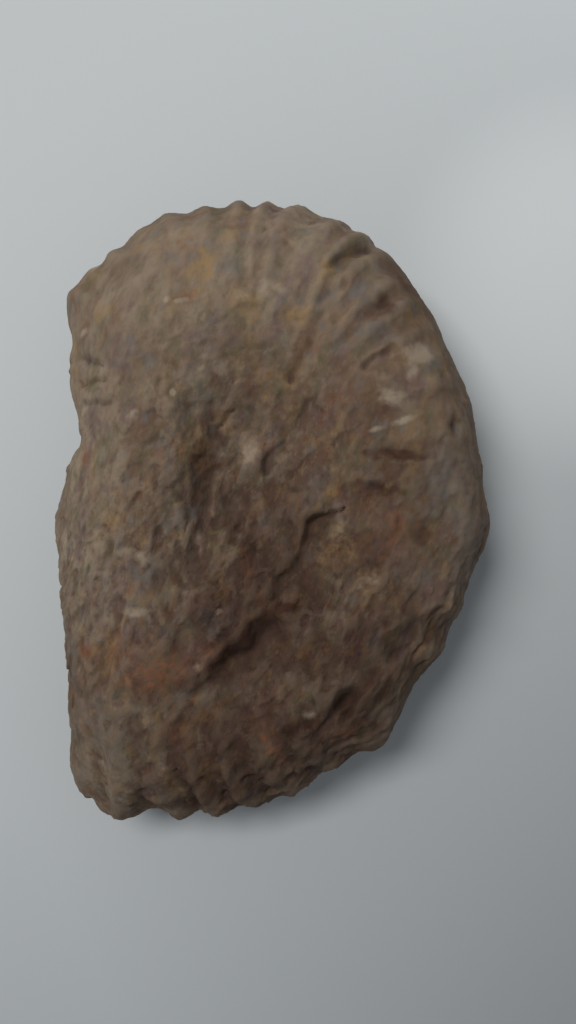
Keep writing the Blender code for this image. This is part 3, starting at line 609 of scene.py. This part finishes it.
# A number in a node tree: arithmetic on it adds Math nodes.
class Num:
    def __init__(self, paint, socket):
        self.paint, self.socket = paint, socket

    def math(self, operation, first, second):
        node = self.paint.node("ShaderNodeMath", dict(operation=operation), {0: first, 1: second})
        return Num(self.paint, node.outputs[0])

    def __add__(self, other):
        return self.math("ADD", self, other)

    def __sub__(self, other):
        return self.math("SUBTRACT", self, other)

    def __rsub__(self, other):
        return self.math("SUBTRACT", other, self)

    def __mul__(self, other):
        return self.math("MULTIPLY", self, other)

    __radd__, __rmul__ = __add__, __mul__


# One material: node() adds a node with its settings first, then its inputs.
class Paint:
    def __init__(self, name):
        self.material = bpy.data.materials.new(name)
        self.material.use_nodes = True
        self.tree = self.material.node_tree
        self.shader = self.tree.nodes["Principled BSDF"]
        self.place = self.node("ShaderNodeTexCoord").outputs["Object"]

    def node(self, kind, settings=None, inputs=None):
        made = self.tree.nodes.new(kind)
        for name, value in (settings or {}).items():
            setattr(made, name, value)
        for name, value in (inputs or {}).items():
            self.feed(made.inputs[name], value)
        return made

    # a link from a number or an output, or a plain value, into a socket
    def feed(self, socket, value):
        if isinstance(value, Num):
            value = value.socket
        if isinstance(value, bpy.types.NodeSocket):
            self.tree.links.new(value, socket)
        else:
            socket.default_value = value

    # size is the feature size in millimetres, and each seed gives another pattern
    def noise(self, size, seed, place=None, detail=3.0):
        node = self.node("ShaderNodeTexNoise", dict(noise_dimensions="4D"), {
            "Vector": self.place if place is None else place, "W": 7.3 * seed,
            "Scale": 1 / (size * mm), "Detail": detail, "Roughness": 0.6})
        return Num(self, node.outputs["Fac"])

    # the pattern's place turned about Z and squeezed, so that its marks run along one direction
    def slanted(self, angle, stretch):
        turned = self.node("ShaderNodeMapping", {}, {
            "Vector": self.place, "Rotation": (0, 0, np.radians(-angle))}).outputs[0]
        return self.node("ShaderNodeMapping", {}, {
            "Vector": turned, "Scale": (1 / stretch, 1, 1)}).outputs[0]

    # one of the values that the mesh holds at its points
    def field(self, name):
        node = self.node("ShaderNodeAttribute", dict(attribute_type="GEOMETRY", attribute_name=name))
        return Num(self, node.outputs["Fac"])

    # an S-shaped rise from 0 at low to 1 at high: t * t * (3 - 2t)
    def step(self, low, high, value):
        node = self.node("ShaderNodeMapRange", dict(interpolation_type="SMOOTHSTEP"), {
            "Value": value, "From Min": low, "From Max": high})
        return Num(self, node.outputs["Result"])

    # a blotch pattern: noise above the low step, full from the high step on
    def blotch(self, size, seed, low, high, place=None):
        return self.step(low, high, self.noise(size, seed, place))

    # above laid over below by an amount from 0 to 1
    def mix(self, amount, below, above, blend="MIX"):
        node = self.node("ShaderNodeMix", dict(data_type="RGBA", blend_type=blend), {
            0: amount, 6: below, 7: above})
        return node.outputs[2]

    # relief in the shading alone, distance millimetres deep, on top of another normal
    def bump(self, height, distance, normal=None):
        inputs = {"Height": height, "Strength": 1.0, "Distance": distance * mm}
        if normal is not None:
            inputs["Normal"] = normal
        return self.node("ShaderNodeBump", {}, inputs).outputs[0]


stoneColours = dict(
    sand=(0.334, 0.262, 0.188, 1), tan=(0.240, 0.163, 0.110, 1), brown=(0.160, 0.100, 0.068, 1),
    redBrown=(0.175, 0.086, 0.058, 1), umber=(0.074, 0.040, 0.030, 1),
    mauve=(0.200, 0.134, 0.126, 1), olive=(0.160, 0.140, 0.082, 1),
    ochre=(0.370, 0.232, 0.100, 1), rust=(0.275, 0.105, 0.048, 1),
    # the russet factor darkens both reddish stain and painted shade
    russet=(0.52, 0.435, 0.425, 1), dusk=(0.48, 0.42, 0.40, 1), cream=(0.440, 0.350, 0.258, 1),
    # the near black at the end of this next line is painted shade for the deepest hollows
    slate=(0.190, 0.180, 0.168, 1), pitShadeBlack=(0.034, 0.018, 0.015, 1),
)


stoneFinish = dict(
    grainStretch=1.6,           # how much longer than wide the marks are, along the grain
    mottling=(11.0, 1, 0.36, 0.64),             # size, seed, low and high step of the broad areas
    blotches=[                  # colour, size, low and high step, strength
        ("sand", 5.0, 0.50, 0.68, 0.60), ("redBrown", 4.2, 0.50, 0.68, 0.60),
        ("ochre", 3.6, 0.52, 0.70, 0.52), ("mauve", 3.4, 0.46, 0.70, 0.75),
        ("olive", 2.8, 0.46, 0.70, 0.70), ("slate", 2.2, 0.54, 0.68, 0.60),
        ("brown", 1.7, 0.50, 0.66, 0.60), ("ochre", 1.6, 0.54, 0.70, 0.58),
        ("rust", 1.3, 0.55, 0.70, 0.50), ("mauve", 1.0, 0.50, 0.70, 0.50),
        ("olive", 0.9, 0.50, 0.70, 0.50), ("sand", 0.8, 0.54, 0.70, 0.50),
        ("umber", 0.7, 0.55, 0.72, 0.45),
    ],
    fineBelow=2.0,              # smaller blotches than this thin out where the stone is smooth
    duskBlotches=[              # size, seed, low and high step, strength
        (2.4, 40, 0.46, 0.66, 0.55), (1.1, 41, 0.46, 0.66, 0.50),
    ],
    ragged=(0.9, 20, 0.30, 0.70),               # size, seed, low and high step of the stains' edges
    washes=dict(                # low and high step of what a wash follows, strength
        # the bleached and cream washes also paint highlight, the russet washes also paint shade, and
        # the hollow, basin and pit washes are painted shade
        bleached=(0.05, 0.85, 0.82), creamedAndHighlight=(0.95, 1.80, 0.65), worn=(0.03, 0.22, 0.30),
        russet=(0.05, 0.95, 0.95), deepRussetAndShade=(0.95, 2.00, 1.0), ochre=(0.08, 1.00, 0.70),
        rust=(0.08, 1.00, 0.70), slate=(0.08, 1.00, 0.55), hollow=(0.02, 0.38, 0.50),
        basin=(0.10, 1.30, 0.30), pitShade=(0.45, 1.40, 0.40), pale=(0.15, 0.70, 0.72),
    ),
    coarse=(-0.1, 1.3),         # low and high step of the roughness that thins the fine marks out
    roughness=0.95, paleSmoother=0.2, specular=0.25,
    fineGrain=(0.35, 30, 0.05), flakyGrain=(0.9, 31, 0.17),     # size, seed, depth
)


# Mottled limestone: broad tan and brown areas, bleached and painted with highlight where the stain
# fields say so, then blotches of each mineral colour from noise of its own, worn crests, reddish
# stains mixed with painted shade, the other stains, and painted shade in hollows, basins and pits.
# Each wash lays one colour over those before it, by step(low, high, value) * strength.
def limestone():
    c, finish = stoneColours, stoneFinish
    paint = Paint("weatheredLimestone")
    along = paint.slanted(weathering["grainAngle"], finish["grainStretch"])
    hollow, basin = paint.field("hollow"), paint.field("basin")
    bleached, russet = paint.field("bleached"), paint.field("russet")
    coarse = paint.step(*finish["coarse"], paint.field("rough"))

    # one wash laid over a colour
    def washed(colour, wash, value, above, blend="MIX"):
        low, high, strength = finish["washes"][wash]
        return paint.mix(paint.step(low, high, value) * strength, colour, c[above], blend)

    colour = paint.mix(paint.blotch(*finish["mottling"]), c["brown"], c["tan"])
    # pale worn stone and painted highlight laid on together, turning to cream where the field passes 1
    colour = washed(colour, "bleached", bleached, "sand")
    colour = washed(colour, "creamedAndHighlight", bleached, "cream")
    for seed, (name, size, low, high, strength) in enumerate(finish["blotches"], start=2):
        amount = paint.blotch(size, seed, low, high, along) * strength
        amount = amount * (coarse if size < finish["fineBelow"] else 1.0)
        colour = paint.mix(amount, colour, c[name])
    for size, seed, low, high, strength in finish["duskBlotches"]:
        dusk = paint.blotch(size, seed, low, high, along) * coarse
        colour = paint.mix(dusk * strength, colour, c["dusk"], "MULTIPLY")
    colour = washed(colour, "worn", 0 - hollow, "sand")
    # reddish stain and painted shade multiplied in, deeper where the field passes 1
    colour = washed(colour, "russet", russet, "russet", "MULTIPLY")
    colour = washed(colour, "deepRussetAndShade", russet, "russet", "MULTIPLY")
    ragged = 0.45 + 1.1 * paint.blotch(*finish["ragged"])      # from 0.45 to 1.55
    for name in ("ochre", "rust", "slate"):
        colour = washed(colour, name, paint.field(name) * ragged, name)
    # painted shade: umber in hollows and broad basins, near black in the deepest pits
    colour = washed(colour, "hollow", hollow, "umber")
    colour = washed(colour, "basin", basin, "umber")
    colour = washed(colour, "pitShade", hollow, "pitShadeBlack")
    pale = paint.field("pale") * (0.5 + 0.5 * ragged)
    colour = washed(colour, "pale", pale, "cream")
    paint.feed(paint.shader.inputs["Base Color"], colour)

    low, high, _ = finish["washes"]["pale"]
    smoother = finish["paleSmoother"] * paint.step(low, high, pale)
    paint.feed(paint.shader.inputs["Roughness"], finish["roughness"] - smoother)
    paint.shader.inputs["Specular IOR Level"].default_value = finish["specular"]

    size, seed, depth = finish["fineGrain"]
    fine = paint.bump(paint.noise(size, seed) * coarse, depth)
    size, seed, depth = finish["flakyGrain"]
    flaky = paint.bump(paint.noise(size, seed, along, 4.0) * coarse, depth, fine)
    paint.feed(paint.shader.inputs["Normal"], flaky)
    return paint.material


print("stone: surface")
stone = bpy.data.objects.new("ammoniteStone", stoneMesh())
bpy.context.scene.collection.objects.link(stone)
print("stone: limestone")
stone.data.materials.append(limestone())
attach(stone, "root")
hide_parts("ammonite_fossil")


setting = dict(
    # the floor's darker and lighter colours are painted shade and painted light
    floorSize=1.6, floorPaintedShade=(0.536, 0.568, 0.585, 1), floorPaintedLight=(0.724, 0.768, 0.791, 1),
    floorMiddle=(0.010, 0.030), floorSlope=133.0,       # where its painted light and shade cross, and how fast they part
    floorRoughness=0.6,
    # a round pool of painted light on the floor to the right of the stone
    paintedPoolColour=(0.905, 0.945, 0.965, 1), paintedPoolMiddle=(0.050, 0.036), paintedPoolRadius=0.034,
    paintedPoolShare=0.6,
    keyPlace=(-0.25, 0.28, 0.65), keyAim=(-0.460, 1.263, 0.0), keyRadius=0.19,
    keyCone=178.0, keyBlend=0.03, keyPower=16.6, keyColour=(1.0, 0.985, 0.96),
    skyColour=(0.92, 0.96, 1.0, 1), skyStrength=0.185,
    cameraPlace=(0.0023, -0.0001, 0.154), cameraLens=35.0, cameraNear=0.01,
)


# Turns a lamp or a camera, which look along their own -Z, towards a target.
def pointAt(thing, target):
    thing.rotation_euler = (Vector(target) - thing.location).to_track_quat("-Z", "Y").to_euler()


# A square floor, a window light, a soft sky and the camera. The floor's colour holds painted light
# and shade: its tone is 1/2 + slope * x * y, measured from the place where its tones cross, and a
# round pool of painted light fades out by the square of the distance over that of its radius.
def studio():
    half = setting["floorSize"] / 2
    mesh = bpy.data.meshes.new("floor")
    mesh.from_pydata([(-half, -half, 0), (half, -half, 0), (half, half, 0), (-half, half, 0)],
                     [], [(0, 1, 2, 3)])
    floor = bpy.data.objects.new("floor", mesh)
    paint = Paint("paleFloor")
    axes = paint.node("ShaderNodeSeparateXYZ", {}, {"Vector": paint.place}).outputs

    # the two ways of the floor, measured from a middle
    def measured(middle):
        return [Num(paint, axes[k]) - middle[k] for k in range(2)]

    x, y = measured(setting["floorMiddle"])
    # painted light and shade: lighter to the lower left and upper right, darker to the lower right and
    # upper left
    tone = 0.5 + setting["floorSlope"] * x * y
    colour = paint.mix(tone, setting["floorPaintedShade"], setting["floorPaintedLight"])
    x, y = measured(setting["paintedPoolMiddle"])
    # the round pool of painted light
    patch = 1 - paint.step(0, setting["paintedPoolRadius"] ** 2, x * x + y * y)
    paint.feed(paint.shader.inputs["Base Color"],
               paint.mix(patch * setting["paintedPoolShare"], colour, setting["paintedPoolColour"]))
    paint.shader.inputs["Roughness"].default_value = setting["floorRoughness"]
    mesh.materials.append(paint.material)

    light = bpy.data.lights.new("windowLight", "SPOT")
    light.energy, light.color = setting["keyPower"], setting["keyColour"]
    light.shadow_soft_size = setting["keyRadius"]
    light.spot_size, light.spot_blend = np.radians(setting["keyCone"]), setting["keyBlend"]
    key = bpy.data.objects.new("windowLight", light)
    key.location = setting["keyPlace"]
    pointAt(key, setting["keyAim"])

    world = bpy.data.worlds.new("softSky")
    world.use_nodes = True
    sky = world.node_tree.nodes["Background"]
    sky.inputs["Color"].default_value = setting["skyColour"]
    sky.inputs["Strength"].default_value = setting["skyStrength"]

    lens = bpy.data.cameras.new("camera")
    lens.lens = setting["cameraLens"]
    lens.clip_start = setting["cameraNear"]
    camera = bpy.data.objects.new("camera", lens)
    camera.location = setting["cameraPlace"]

    scene = bpy.context.scene
    for thing in (floor, key, camera):
        scene.collection.objects.link(thing)
    scene.world = world
    scene.camera = camera
    scene.view_settings.view_transform = "Standard"


print("studio")
studio()
